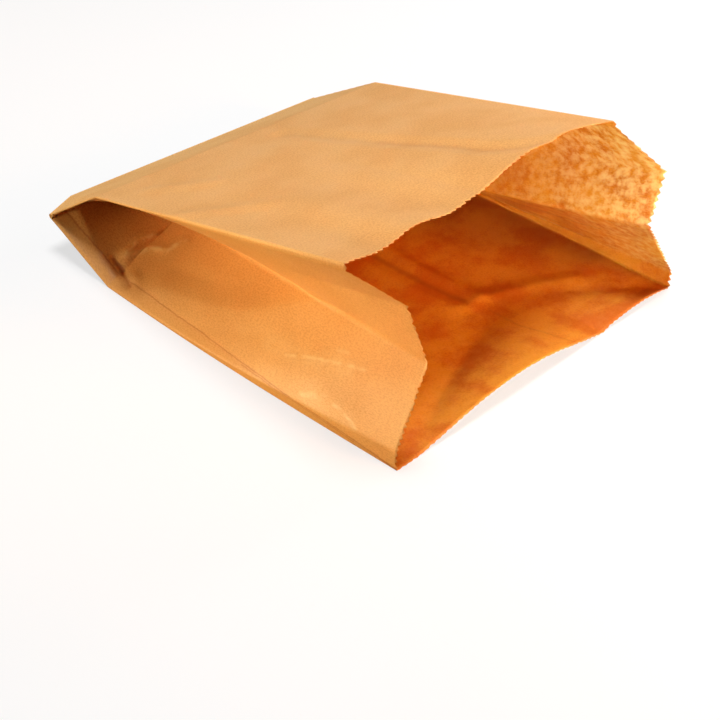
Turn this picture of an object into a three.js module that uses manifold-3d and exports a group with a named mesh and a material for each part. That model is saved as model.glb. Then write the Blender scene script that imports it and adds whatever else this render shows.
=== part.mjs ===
// A gusseted paper bakery bag lying open on its lower panel, with its mouth towards +X.
// The sheet is drawn as one folded surface, row by row from the bottom fold to the mouth, and is
// then given the thickness of the paper. Millimetres, +Z up.
import * as THREE from 'three';
import { mergeVertices } from 'three/addons/utils/BufferGeometryUtils.js';
import Module from 'manifold-3d';

// The sheet
const PAPER = 0.12; // thickness of one ply
const BAG_WIDTH = 180; // width of the lower and the upper panel
const GUSSET_WIDTH = 98; // width of each side gusset before it is folded in half
const BAG_LENGTH = 229; // from the bottom fold to the mouth, along the lower panel
const UPPER_LIP = 17; // how much shorter the upper panel is cut at the mouth
const LAP_WIDTH = 11; // glued lap along the near gusset that closes the tube
const HEM_WIDTH = 17; // bottom end folded under and glued
const HEM_PLIES = 4; // plies in the hem

// How the bottom end stands open
const END_HEIGHT = 41; // between the two cross creases
const END_LEAN = 5; // the upper cross crease lies this much further from the mouth
const LOWER_SLOPE = 47; // from the bottom fold to the lower cross crease
const UPPER_SLOPE = 41; // from the bottom fold to the upper cross crease
const END_SPAN = 175; // upper cross crease between the two sides, a little arched
const SKEW_BACK = 2.2; // the near side of the end stands this much further from the mouth
const SKEW_RISE = 1.5; // and this much higher
const EAR_LENGTH = 12.6; // bent corner of the bottom fold
const EAR_DROP = 5;

// How the mouth stands open
const MOUTH_HEIGHT = 86; // height of the upper panel's corners
const MOUTH_SPAN = 158; // between those corners, less than the panel's width because it waves
const MOUTH_SHIFT = 16.5; // the upper panel has slid towards the near side
const CREST_RISE = 6.5; // the upper edge rises in one broad wave
const CREST_WIDTH = 85; // width of that wave, from the far corner
const DIP_DEPTH = 2; // small dips in the rest of that edge
const DIP_COUNT = 2;
const LOWER_LIFT = 8.6; // rise of the lower edge off the surface
const LIFT_START = 11; // from the near fold to where that edge leaves the surface
const LIFT_END = 130; // and to where it comes down
const FAR_LIFT = 3.2; // rise of the lower edge between there and the far fold
const LIFT_REACH = 50; // from the lower edge back to the corner of its lifted paper
const LIFT_CORNER = 122; // from the near fold to that corner
const LOWER_SWELL = 2.7; // outward bow of the lower folds
const GUSSET_LEAN = 1.07; // forward lean of the gusset's fold at the mouth, to its inward depth
const NEAR_BEND = new THREE.Vector3(5.1, 5.3, 3.9); // corner in the upper gusset halves at the mouth
const FAR_BEND = new THREE.Vector3(9.7, 9.8, 2.4);
const BEND_PLACE = 0.5; // they stand at this share of the half's width
const BEND_REACH = 85; // how far they run back from the mouth
const SIDE_SWELL = 3; // outward swell of the gusset's lower half

// How those shapes grow along the bag, as powers of the share of its length
const WAVE_GROWTH = 1.5;
const BEND_GROWTH = 1.3;
const FOLD_GROWTH = 2;

// How narrow the crests of the lower edge are
const LIFT_SHARPNESS = 1.2;
const FAR_LIFT_SHARPNESS = 0.7;

// Folds and cut edge
const TIGHT_FOLD = 0.5; // paper between the two sides of a fold, at the bottom
const STACK_HEIGHT = 3 * TIGHT_FOLD; // the four plies that lie on each other there
const OPEN_FOLD = 3; // the same at the mouth, where the folds have opened
const OPEN_LOWER_FOLD = 9; // the lower folds have opened most
const TOOTH_PITCH = 3.2; // serrated cut
const TOOTH_DEPTH = 1.2;

// Fineness of the surface
const SLOPE_ROWS = 4;
const BODY_ROWS = 14;
const PANEL_STRIPS = 16; // between the two ears
const HALF_STRIPS = 3; // between the ear and the gusset's middle fold
const RIM_BAND = 5; // paper between the last plain row and the cut edge
const LAP_STEP = 0.3; // paper over which the edge of the lap rises
const HEM_ARC_STEPS = 6;
const MERGE_DISTANCE = 1e-4; // points closer than this are one

const NEAR = -1;
const FAR = 1;
const KRAFT = 0xd9974f;

const vector = (x, y, z) => new THREE.Vector3(x, y, z);
const mix = THREE.MathUtils.lerp;
const clamp = THREE.MathUtils.clamp;
const hump = (share) => Math.sin(Math.PI * clamp(share, 0, 1));
const tent = (value, peak, end) => Math.min(value / peak, (end - value) / (end - peak));

// Corners of the side profile, x along the bag and z up
const lowerRun = BAG_LENGTH - LOWER_SLOPE;
const upperRun = BAG_LENGTH - UPPER_SLOPE - UPPER_LIP;
const upperRise = MOUTH_HEIGHT - END_HEIGHT;
const lowerCross = new THREE.Vector2(0, 0);
const upperCross = new THREE.Vector2(-END_LEAN, END_HEIGHT);
const lowerMouth = new THREE.Vector2(lowerRun, 0);
const upperReach = Math.sqrt(upperRun ** 2 - upperRise ** 2);
const upperMouth = new THREE.Vector2(upperReach - END_LEAN, MOUTH_HEIGHT);
const upperNormal = vector(-upperRise, 0, upperReach).divideScalar(upperRun);
const bottomFold = meetingPoint(lowerCross, LOWER_SLOPE, upperCross, UPPER_SLOPE);
const SKEW = new THREE.Vector2(-SKEW_BACK, SKEW_RISE);

// The point at the two given distances from two corners, on the side away from the mouth
function meetingPoint(lower, fromLower, upper, fromUpper) {
  const apart = upper.distanceTo(lower);
  const up = upper.clone().sub(lower).divideScalar(apart);
  const rise = (fromLower ** 2 - fromUpper ** 2 + apart ** 2) / (2 * apart);
  const away = Math.sqrt(fromLower ** 2 - rise ** 2);
  return new THREE.Vector2(lower.x + up.x * rise - up.y * away, lower.y + up.y * rise + up.x * away);
}

// A row of the sheet lies either on the sloping end or on the body, at a share of its length
const END = 'end';
const BODY = 'body';

function alongProfile(row, bottom, cross, mouth) {
  if (row.part === END) {
    return bottom.clone().lerp(cross, row.share);
  }
  return cross.clone().lerp(mouth, row.share);
}

const bodyShare = (row) => (row.part === BODY ? row.share : 0);
const endShare = (row) => (row.part === END ? row.share : 1);
const wholeShare = (row) => (endShare(row) * LOWER_SLOPE + bodyShare(row) * lowerRun) / BAG_LENGTH;
const foldGap = (row, open) => mix(TIGHT_FOLD, open, bodyShare(row) ** FOLD_GROWTH);

// Upper and lower fold of one side, with the stacked plies kept apart at the bottom fold
function sideFolds(side, row) {
  const stack = new THREE.Vector2(0, STACK_HEIGHT / 2);
  const skew = side === NEAR ? SKEW : new THREE.Vector2(0, 0);
  const bottom = bottomFold.clone().add(skew);
  const low = alongProfile(row, bottom.clone().sub(stack), lowerCross, lowerMouth);
  const high = alongProfile(row, bottom.clone().add(stack), upperCross.clone().add(skew), upperMouth);
  const bottomEdge = (side * BAG_WIDTH) / 2;
  const crossEdge = (side * END_SPAN) / 2;
  const mouthEdge = (side * MOUTH_SPAN) / 2 - MOUTH_SHIFT;
  const [from, to] = row.part === END ? [bottomEdge, crossEdge] : [crossEdge, mouthEdge];
  const upperEdge = mix(from, to, row.share);
  const swell = side * LOWER_SWELL * hump(wholeShare(row));
  return {
    lower: vector(low.x, bottomEdge + swell, low.y),
    upper: vector(high.x, upperEdge, high.y),
  };
}

// The gusset's middle fold keeps half the gusset's width from both of the side's folds
function gussetFold(side, row, lean) {
  const { lower, upper } = sideFolds(side, row);
  const chord = upper.clone().sub(lower);
  const half = chord.length() / 2;
  const depth = Math.sqrt(Math.max((GUSSET_WIDTH / 2) ** 2 - half ** 2, 0));
  const inward = vector(lean, -side, 0);
  inward.projectOnPlane(chord.clone().normalize()).setLength(depth);
  return lower.clone().addScaledVector(chord, 0.5).add(inward);
}

// It is a straight crease from the bottom fold to the cross crease, and another from there to the mouth
const BOTTOM_ROW = { part: END, share: 0 };
const CROSS_ROW = { part: BODY, share: 0 };
const MOUTH_ROW = { part: BODY, share: 1 };

function gussetCrease(side, row) {
  const bottom = gussetFold(side, BOTTOM_ROW, 0);
  const cross = gussetFold(side, CROSS_ROW, 0);
  const mouth = gussetFold(side, MOUTH_ROW, GUSSET_LEAN);
  return alongProfile(row, bottom, cross, mouth);
}

// The six lines of one side in a row: each fold is a narrow strip with a line on both its sides
function sideLines(side, row) {
  const { lower, upper } = sideFolds(side, row);
  const crease = gussetCrease(side, row);
  const rise = upper.clone().sub(lower).setLength(foldGap(row, OPEN_FOLD));
  return {
    panelLow: lower,
    gussetLow: lower.clone().add(vector(0, 0, foldGap(row, OPEN_LOWER_FOLD))),
    creaseLow: crease.clone().addScaledVector(rise, -0.5),
    creaseHigh: crease.clone().addScaledVector(rise, 0.5),
    gussetHigh: upper.clone().sub(rise),
    panelHigh: upper,
  };
}

// What each face adds to the straight line between its two edges
const flat = () => vector(0, 0, 0);

function lowerPanelShape(share, row) {
  const across = share * BAG_WIDTH;
  const nearWave = hump((across - LIFT_START) / (LIFT_END - LIFT_START)) ** LIFT_SHARPNESS;
  const farWave = hump((across - LIFT_END) / (BAG_WIDTH - LIFT_END)) ** FAR_LIFT_SHARPNESS;
  const reach = LIFT_REACH * tent(across, LIFT_CORNER, BAG_WIDTH);
  const fromMouth = (1 - bodyShare(row)) * lowerRun;
  const lifted = fromMouth < reach ? 1 - fromMouth / reach : 0;
  return vector(0, 0, lifted * (LOWER_LIFT * nearWave + FAR_LIFT * farWave));
}

function upperPanelShape(share, row) {
  const across = share * MOUTH_SPAN;
  const pastCrest = Math.max(across - CREST_WIDTH, 0) / (MOUTH_SPAN - CREST_WIDTH);
  const dip = Math.sin(Math.PI * DIP_COUNT * pastCrest) ** 2;
  const wave = CREST_RISE * hump(across / CREST_WIDTH) - DIP_DEPTH * dip;
  return upperNormal.clone().multiplyScalar(wave * bodyShare(row) ** WAVE_GROWTH);
}

function lowerHalfShape(side) {
  return (share, row) => vector(0, side * SIDE_SWELL * hump(share) * hump(bodyShare(row)), 0);
}

function upperHalfShape(bend) {
  return (share, row) => {
    const fromMouth = (1 - bodyShare(row)) * lowerRun;
    const bent = Math.max(1 - fromMouth / BEND_REACH, 0) ** BEND_GROWTH;
    return bend.clone().multiplyScalar(bent * tent(share, BEND_PLACE, 1));
  };
}

// Columns of a face, as shares of its width: evenly spaced, with more on the lines of its folds
const halfGusset = GUSSET_WIDTH / 2;
const even = (strips, from, to) => Array.from({ length: strips }, (_, i) => mix(from, to, i / strips));
const panelEar = EAR_LENGTH / BAG_WIDTH;
const halfEar = EAR_LENGTH / halfGusset;
const panelColumns = [0, ...even(PANEL_STRIPS, panelEar, 1 - panelEar), 1 - panelEar];
const outerFirst = [0, ...even(HALF_STRIPS, halfEar, 1)];
const outerLast = [...even(HALF_STRIPS, 0, 1 - halfEar), 1 - halfEar];
const lapShare = 1 - LAP_WIDTH / halfGusset;
const lapEdge = [lapShare - LAP_STEP / halfGusset, lapShare];
const withLines = (columns, lines) => [...columns, ...lines].sort((a, b) => a - b);

// Faces in order round the tube, from the near lower fold across the lower panel and back over the top.
// A face starts at its `from` line and ends where the next face starts, and the lap doubles the paper
// on the part of a face past its `lapFrom` share.
const face = (side, from, columns, shape, width, lapFrom = Infinity) => ({
  side,
  from,
  columns,
  shape,
  width,
  lapFrom,
});
const FACES = [
  face(NEAR, 'panelLow', panelColumns, lowerPanelShape, BAG_WIDTH),
  face(FAR, 'panelLow', [0], flat, OPEN_LOWER_FOLD),
  face(FAR, 'gussetLow', outerFirst, lowerHalfShape(FAR), halfGusset),
  face(FAR, 'creaseLow', [0], flat, OPEN_FOLD),
  face(FAR, 'creaseHigh', withLines(outerLast, [BEND_PLACE]), upperHalfShape(FAR_BEND), halfGusset),
  face(FAR, 'gussetHigh', [0], flat, OPEN_FOLD),
  face(FAR, 'panelHigh', panelColumns, upperPanelShape, BAG_WIDTH),
  face(NEAR, 'panelHigh', [0], flat, OPEN_FOLD),
  face(NEAR, 'gussetHigh', withLines(outerFirst, [BEND_PLACE]), upperHalfShape(NEAR_BEND), halfGusset),
  face(NEAR, 'creaseHigh', [0], flat, OPEN_FOLD),
  face(NEAR, 'creaseLow', withLines(outerLast, lapEdge), lowerHalfShape(NEAR), halfGusset, lapShare),
  face(NEAR, 'gussetLow', [0], flat, OPEN_LOWER_FOLD, 0),
];

// The two ends of the bottom fold are bent down like a dog's ear, along a slanting line
function bendEar(point) {
  const onEnd = clamp(point.x / bottomFold.x, 0, 1);
  const fromEdge = Math.max(BAG_WIDTH / 2 - Math.abs(point.y), 0);
  point.z -= EAR_DROP * Math.max(onEnd - fromEdge / EAR_LENGTH, 0);
  return point;
}

// A point of the sheet in a row, at a share of one face's width
function sheetPoint(index, share, row) {
  const here = FACES[index];
  const next = FACES[(index + 1) % FACES.length];
  const start = sideLines(here.side, row)[here.from];
  const end = sideLines(next.side, row)[next.from];
  return bendEar(start.lerp(end, share).add(here.shape(share, row)));
}

// Columns round the tube, each at a share of a face and with the share at which the next one stands
const COLUMNS = FACES.flatMap(({ columns }, index) =>
  columns.map((share, place) => ({ index, share, until: columns[place + 1] ?? 1 })),
);

// The open tube as an indexed surface with a serrated mouth, and the plies at each of its points
function foldedSheet() {
  const positions = [];
  const plies = [];
  const triangles = [];
  const place = (index, share, row) => {
    positions.push(...sheetPoint(index, share, row).toArray());
    plies.push(share >= FACES[index].lapFrom ? 2 : 1);
    return plies.length - 1;
  };
  const lastShare = 1 - RIM_BAND / lowerRun;
  const rows = [
    ...even(SLOPE_ROWS, 0, 1).map((share) => ({ part: END, share })),
    ...even(BODY_ROWS, 0, lastShare).map((share) => ({ part: BODY, share })),
    { part: BODY, share: lastShare },
  ];
  const grid = rows.map((row) => COLUMNS.map(({ index, share }) => place(index, share, row)));
  for (let r = 0; r + 1 < grid.length; r += 1) {
    for (let c = 0; c < COLUMNS.length; c += 1) {
      const next = (c + 1) % COLUMNS.length;
      const [a, b, d, e] = [grid[r][c], grid[r][next], grid[r + 1][c], grid[r + 1][next]];
      triangles.push(a, b, e, a, e, d);
    }
  }
  addSerratedEdge(grid[grid.length - 1], place, triangles);
  const sheet = new THREE.BufferGeometry();
  sheet.setAttribute('position', new THREE.Float32BufferAttribute(positions, 3));
  sheet.setAttribute('plies', new THREE.Float32BufferAttribute(plies, 1));
  sheet.setIndex(triangles);
  return sheet;
}

// Teeth from column to column: each column ends in a notch, with whole teeth up to the next one
function addSerratedEdge(lastRow, place, triangles) {
  const notchRow = { part: BODY, share: 1 - TOOTH_DEPTH / lowerRun };
  const notches = COLUMNS.map(({ index, share }) => place(index, share, notchRow));
  COLUMNS.forEach(({ index, share, until }, c) => {
    const next = (c + 1) % COLUMNS.length;
    const width = FACES[index].width * (until - share);
    const steps = 2 * Math.max(1, Math.round(width / TOOTH_PITCH));
    const edge = [notches[c]];
    for (let step = 1; step < steps; step += 1) {
      edge.push(place(index, mix(share, until, step / steps), step % 2 ? MOUTH_ROW : notchRow));
    }
    edge.push(notches[next]);
    for (let step = 0; step < steps; step += 1) {
      const corner = step < steps / 2 ? lastRow[c] : lastRow[next];
      triangles.push(corner, edge[step + 1], edge[step]);
    }
    triangles.push(lastRow[c], lastRow[next], edge[steps / 2]);
  });
}

// Two skins either side of a surface, joined along its open edges; a lap thickens the outer one
function thicken(sheet) {
  sheet.computeVertexNormals();
  const middle = sheet.getAttribute('position');
  const normal = sheet.getAttribute('normal');
  const plies = sheet.getAttribute('plies');
  const index = Array.from(sheet.getIndex().array);
  const positions = [];
  for (const offset of [(i) => PAPER * (plies.getX(i) - 0.5), () => -PAPER / 2]) {
    for (let i = 0; i < middle.count; i += 1) {
      const point = vector(0, 0, 0).fromBufferAttribute(normal, i).multiplyScalar(offset(i));
      point.add(vector(0, 0, 0).fromBufferAttribute(middle, i));
      positions.push(...point.toArray());
    }
  }
  const inner = (i) => i + middle.count;
  const triangles = [...index];
  const edges = new Set();
  for (let i = 0; i < index.length; i += 3) {
    const [a, b, c] = index.slice(i, i + 3);
    triangles.push(inner(a), inner(c), inner(b));
    [[a, b], [b, c], [c, a]].forEach(([from, to]) => edges.add(`${from}_${to}`));
  }
  for (const key of edges) {
    const [from, to] = key.split('_').map(Number);
    if (!edges.has(`${to}_${from}`)) {
      triangles.push(from, inner(from), inner(to), from, inner(to), to);
    }
  }
  const solid = new THREE.BufferGeometry();
  solid.setAttribute('position', new THREE.Float32BufferAttribute(positions, 3));
  solid.setIndex(triangles);
  return solid;
}

// The hem closes the bottom end: it wraps the stacked plies and lies glued under the lower slope
function hem() {
  const thickness = HEM_PLIES * PAPER;
  const radius = STACK_HEIGHT / 2 + thickness;
  const profile = new THREE.Shape();
  profile.moveTo(HEM_WIDTH, 0);
  profile.lineTo(HEM_WIDTH, -thickness);
  profile.lineTo(0, -thickness);
  profile.absarc(0, STACK_HEIGHT / 2, radius, -Math.PI / 2, -1.5 * Math.PI, true);
  profile.lineTo(radius, 2 * STACK_HEIGHT + thickness);
  profile.lineTo(radius, 0);
  profile.closePath();
  const slices = [...panelColumns, 1];
  const strip = new THREE.ExtrudeGeometry(profile, {
    depth: slices.length - 1,
    steps: slices.length - 1,
    curveSegments: HEM_ARC_STEPS,
    bevelEnabled: false,
  });
  const along = vector(lowerCross.x - bottomFold.x, 0, lowerCross.y - bottomFold.y).normalize();
  const up = vector(-along.z, 0, along.x);
  const start = vector(bottomFold.x, 0, bottomFold.y - STACK_HEIGHT / 2);
  const width = BAG_WIDTH + 2 * PAPER;
  const position = strip.getAttribute('position');
  for (let i = 0; i < position.count; i += 1) {
    const point = start.clone().addScaledVector(along, position.getX(i));
    point.addScaledVector(up, position.getY(i));
    const nearShare = slices[Math.round(position.getZ(i))];
    point.add(vector(SKEW.x * nearShare, width * (0.5 - nearShare), SKEW.y * nearShare));
    position.setXYZ(i, ...bendEar(point).toArray());
  }
  return strip;
}

// Joining closed geometries into one solid
const wasm = await Module();
wasm.setup();

function toSolid(geometry) {
  const bare = geometry.clone();
  bare.deleteAttribute('normal');
  bare.deleteAttribute('uv');
  const merged = mergeVertices(bare, MERGE_DISTANCE);
  return new wasm.Manifold(
    new wasm.Mesh({
      numProp: 3,
      vertProperties: Float32Array.from(merged.getAttribute('position').array),
      triVerts: Uint32Array.from(merged.getIndex().array),
    }),
  );
}

function toGeometry(solid) {
  const mesh = solid.getMesh();
  const geometry = new THREE.BufferGeometry();
  geometry.setAttribute('position', new THREE.BufferAttribute(mesh.vertProperties, 3));
  geometry.setIndex(new THREE.BufferAttribute(mesh.triVerts, 1));
  geometry.computeVertexNormals();
  return geometry;
}

// The bag stands with the middle of its box over the origin
const bagGeometry = toGeometry(toSolid(thicken(foldedSheet())).add(toSolid(hem())));
bagGeometry.computeBoundingBox();
const box = bagGeometry.boundingBox;
const middle = box.getCenter(vector(0, 0, 0));
bagGeometry.translate(-middle.x, -middle.y, -box.min.z);

const kraftPaper = new THREE.MeshStandardMaterial({
  color: KRAFT,
  roughness: 0.75,
  metalness: 0,
  side: THREE.DoubleSide,
});
const paperBag = new THREE.Mesh(bagGeometry, kraftPaper);
paperBag.name = 'paper_bag';

const bag = new THREE.Group();
bag.name = 'croissant_bag';
bag.add(paperBag);

export default bag;
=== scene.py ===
"""Looks of a gusseted kraft bakery bag that lies open on its lower panel.

Laid out as a Blender add-on and run as a script. One operator folds the sheet of paper, one folds the
hem that closes its bottom end, and one sets the stage. Metres, +Z up, mouth towards +X.
"""

import math
from collections import namedtuple
from functools import partial
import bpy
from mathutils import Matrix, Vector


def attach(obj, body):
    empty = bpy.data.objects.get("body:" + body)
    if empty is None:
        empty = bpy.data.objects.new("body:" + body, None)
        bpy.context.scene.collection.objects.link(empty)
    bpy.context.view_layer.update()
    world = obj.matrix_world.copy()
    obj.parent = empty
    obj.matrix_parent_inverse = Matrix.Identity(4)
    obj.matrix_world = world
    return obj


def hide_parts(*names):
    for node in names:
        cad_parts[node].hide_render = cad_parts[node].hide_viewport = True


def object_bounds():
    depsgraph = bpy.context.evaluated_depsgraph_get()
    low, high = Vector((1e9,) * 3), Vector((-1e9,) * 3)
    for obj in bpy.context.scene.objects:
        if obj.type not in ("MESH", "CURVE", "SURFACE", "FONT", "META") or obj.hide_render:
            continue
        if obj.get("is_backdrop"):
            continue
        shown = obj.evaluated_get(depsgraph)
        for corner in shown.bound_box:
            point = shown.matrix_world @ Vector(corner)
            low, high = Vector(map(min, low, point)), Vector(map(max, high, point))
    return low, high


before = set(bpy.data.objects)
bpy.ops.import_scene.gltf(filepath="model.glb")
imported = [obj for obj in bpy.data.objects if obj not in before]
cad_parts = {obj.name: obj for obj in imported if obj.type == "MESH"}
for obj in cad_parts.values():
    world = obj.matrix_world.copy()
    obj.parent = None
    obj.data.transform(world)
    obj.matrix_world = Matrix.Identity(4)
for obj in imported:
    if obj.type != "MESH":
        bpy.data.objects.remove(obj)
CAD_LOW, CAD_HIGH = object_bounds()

from types import SimpleNamespace

import bpy
import numpy as np
from bpy.props import FloatProperty, FloatVectorProperty, IntProperty, PointerProperty
from bpy.types import Operator, Panel, PropertyGroup
from mathutils import Matrix, Vector

bl_info = {
    "name": "Kraft bakery bag",
    "version": (1, 0, 0),
    "blender": (4, 5, 0),
    "location": "View3D > Sidebar > Bag",
    "description": "Folds a gusseted kraft paper bag out of one sheet and sets a plain stage for it",
    "category": "Object",
}

BAG_NODE = "paper_bag"
PAPER_FINISH = "handled_kraft"
MM = 1000  # millimetres in a metre
TINY = 1e-6  # keeps divisions off zero
NEAR, FAR = -1.0, 1.0
STACK_GAPS = 3  # gaps between the four plies at the bottom fold
HEM_PLIES = 4
HEM_ARC = 9  # points on the hem's round edge and in each stretch along it
END_PLIES = 2  # plies folded behind the bottom end's outer one
DIP_COUNT = 2  # small dips in the upper edge
BEND_PLACE = 0.5  # the upper gusset halves bend along their middle
CRISP_ROW = 0.2  # of the row pitch, to the row beside a crisp fold
UNEVEN_TEETH = 0.35, 1.2  # least and most of the tooth depth
CLOUDY_RISE = 0.14, 0.22  # metres from the bottom fold, where cloudiness doubles


# Properties

def setting(kind, **fixed):
    """A maker of properties of one kind, but for their names."""
    def make(description, default):
        return partial(kind, description=description, default=default, **fixed)
    return make


def named(group):
    """Names each property of a group after its field."""
    for field, unnamed in group.__annotations__.items():
        group.__annotations__[field] = unnamed(name=field.replace("_", " ").capitalize())
    return group


length = setting(FloatProperty, unit="LENGTH", precision=5)  # metres
number = setting(FloatProperty, precision=3)
whole = setting(IntProperty)
fraction = setting(FloatProperty, subtype="FACTOR", min=0, max=1, precision=3)
angle = setting(FloatProperty, subtype="ANGLE")  # radians
focus = setting(FloatProperty, unit="CAMERA")  # millimetres
colour = setting(FloatVectorProperty, subtype="COLOR", min=0, max=1)  # linear
place = setting(FloatVectorProperty, subtype="XYZ", unit="LENGTH")  # metres


@named
class BagSizes(PropertyGroup):
    """The sheet and how the bag stands open."""

    paper: length("Thickness of one ply", 0.00012)
    width: length("Width of the lower and the upper panel", 0.180)
    gusset: length("Width of each gusset, unfolded", 0.098)
    length: length("From the bottom fold to the mouth", 0.229)
    lip: length("How much shorter the upper panel is", 0.017)
    hem: length("Bottom end folded under and glued", 0.017)
    end_height: length("Between the two cross creases", 0.041)
    end_lean: length("How far the upper one is set back", 0.005)
    lower_slope: length("From the bottom fold to the lower cross crease", 0.047)
    upper_slope: length("From the bottom fold to the upper cross crease", 0.041)
    end_span: length("Upper cross crease between the two sides", 0.175)
    skew_back: length("How far the near end is set back", 0.0022)
    skew_rise: length("How much higher the near end stands", 0.0015)
    ear_length: length("Bent corner of the bottom fold", 0.0126)
    ear_drop: length("How far the ear's tip is bent down", 0.005)
    mouth_height: length("Height of the upper panel's corners", 0.086)
    mouth_span: length("Between those corners", 0.158)
    mouth_shift: length("Slide of the upper panel to the near side", 0.0165)
    crest: length("Rise of the upper edge's one broad wave", 0.0065)
    crest_width: length("Width of that wave, from the far corner", 0.085)
    dip: length("Depth of the small dips in the rest", 0.0020)
    lower_lift: length("Rise of the lower edge off the surface", 0.0086)
    lift_start: length("From the near corner to that rise", 0.011)
    lift_end: length("From the near corner to its end", 0.130)
    far_lift: length("Rise from there to the far corner", 0.0032)
    lift_reach: length("Length of the lifted paper's corner", 0.050)
    lift_corner: length("From the near fold to that corner", 0.122)
    lower_swell: length("Outward bow of the lower folds", 0.0027)
    side_swell: length("Outward swell of the gusset's lower half", 0.003)
    near_bend: place("Corner of the near upper half at the mouth", (0.0051, 0.0053, 0.0039))
    far_bend: place("Corner of the far upper half at the mouth", (0.0097, 0.0098, 0.0024))
    bend_reach: length("How far back those corners run", 0.085)
    gusset_lean: number("Forward lean of the gusset's fold at the mouth", 1.07)
    wave_growth: number("How fast the upper panel's waves grow, as a power", 1.5)
    bend_growth: number("How fast the gussets' corners grow, as a power", 1.3)
    fold_growth: number("How fast the folds open, as a power", 2.0)
    lift_sharpness: number("How narrow the lower edge's main wave is", 1.2)
    far_lift_sharpness: number("How narrow the lower edge's far wave is", 0.7)
    tight_fold: length("Between a fold's sides, at the bottom", 0.0005)
    open_fold: length("The same at the mouth", 0.003)
    open_lower_fold: length("The same for the lower folds", 0.009)
    tooth_pitch: length("Spacing of the teeth of the cut edge", 0.0032)
    tooth_depth: length("Depth of the teeth of the cut edge", 0.0014)
    row_pitch: length("Spacing of the mesh along the bag", 0.0020)
    swell_depth: length("Depth of the paper's broad waves", 0.0030)
    swell_size: length("Size of the paper's broad waves", 0.060)
    crumple_depth: length("Depth of the creases that handling left", 0.0012)
    crumple_size: length("Size of the creases that handling left", 0.022)
    seed: whole("Seed of the waves, creases and teeth", 4)


@named
class PaperFinish(PropertyGroup):
    """The look of the paper."""

    kraft: colour("Glazed outer face", (0.90, 0.52, 0.165))
    fibre: colour("Darker fibres of the outer face", (0.62, 0.26, 0.055))
    inner: colour("Unglazed inner face", (0.92, 0.42, 0.040))
    inner_fibre: colour("Darker fibres of the inner face", (0.66, 0.15, 0.006))
    glow: colour("Paper seen against the light", (1.0, 0.60, 0.17))
    thin_glow: colour("Worn thin spots seen against the light", (1.0, 0.82, 0.36))
    dense_glow: colour("Thick flocs seen against the light", (0.62, 0.20, 0.022))
    # partly wear, partly painted glow of light shining through the thin spots
    worn: colour("Worn thin spots of the inner face", (0.92, 0.70, 0.25))
    # painted glints and sheen on scuffed creases, over their real wear
    scuff: colour("Pressed and scuffed creases", (0.95, 0.68, 0.28))
    # painted shade in creases and valleys, along the lap's edge and the far fold, with some dirt
    shade: colour("Dirt and shadow in sharp creases", (0.40, 0.09, 0.006))
    # painted shade on the strip of the glued lap
    lap: colour("Paper of the glued lap", (0.50, 0.17, 0.02))
    outer_share: fraction("Light that enters through the outer face", 0.24)
    inner_share: fraction("Light that enters through the inner face", 0.50)
    thin_share: fraction("Light that thin spots add", 0.2)
    floc_share: fraction("Inner light that flocs hold back", 0.45)
    grain_share: fraction("Fibre colour in the grain", 0.6)
    tone_share: fraction("Fibre colour in the broad tone", 0.18)
    # share of the pale colour on thin spots: wear and painted glow
    worn_share: fraction("Worn colour in thin spots", 0.9)
    # how much painted shade the strip of the glued lap takes
    lap_share: fraction("Lap colour on the glued lap", 0.35)
    even_paper: fraction("Brightness of paper with no flocs", 0.6)
    gloss: fraction("Strength of the mirror light", 0.4)
    roughness: fraction("Least roughness of the glazed face", 0.38)
    rough_spread: fraction("What the broad tone adds to it", 0.25)
    scuff_gloss: fraction("How much smoother scuffs are", 0.2)
    relief: fraction("Strength of the grain's relief", 0.4)
    relief_depth: length("Depth of the grain", 0.0001)
    scuff_relief: number("Height of scuffs, in grains", 2.0)
    floc_size: length("Size of the cloudy spots in the paper", 0.0042)
    fibre_size: length("Size of the visible grain", 0.0007)
    tone_size: length("Size of the outer face's broad tone", 0.035)
    stain_size: length("Size of the inner face's stains", 0.024)
    break_size: length("Size of the breaks in scuffed lines", 0.005)
    wander_size: length("Size of the bends in pressed lines", 0.006)
    wander: length("How far pressed lines wander", 0.0009)


@named
class StageSettings(PropertyGroup):
    """The camera, the floor and the light from all round."""

    aim: place("Point that the camera looks at", (0.06829, -0.06578, 0.01838))
    azimuth: angle("Camera direction round the bag", math.radians(45.0))
    elevation: angle("Camera height over the floor", math.radians(36.4))
    roll: angle("Turn of the camera about its axis", math.radians(0.09))
    distance: length("From the camera to the point it looks at", 0.5508)
    lens: focus("Focal length", 68.46)
    floor: colour("Colour of the floor", (0.90, 0.90, 0.90))
    bounce: colour("Colour that the floor throws back at the bag", (0.07, 0.07, 0.07))
    white: fraction("Plain white in the floor as it is seen", 0.7)
    reach: length("Half of the floor's side", 2.0)
    drop: length("How far the floor lies under the bag", 0.0002)
    soft_light: number("Strength of the light from all round", 0.025)


# Folding the sheet

def hump(share):
    """A smooth rise from 0 to 1 and back."""
    return np.sin(np.pi * np.clip(share, 0, 1))


def tent(value, peak, end):
    """A straight rise from 0 to 1 at the peak and a straight fall to 0 at the end."""
    return np.minimum(value / peak, (end - value) / (end - peak))


def smooth(value, low, high):
    """0 under low, 1 over high, smooth between them."""
    t = np.clip((value - low) / (high - low), 0, 1)
    return t * t * (3 - 2 * t)


def vector(x, y, z):
    """Points from coordinates that may be arrays."""
    return np.stack(np.broadcast_arrays(x, y, z), axis=-1)


def unit(vectors):
    """Vectors at length 1."""
    return vectors / np.maximum(np.linalg.norm(vectors, axis=-1, keepdims=True), TINY)


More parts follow.
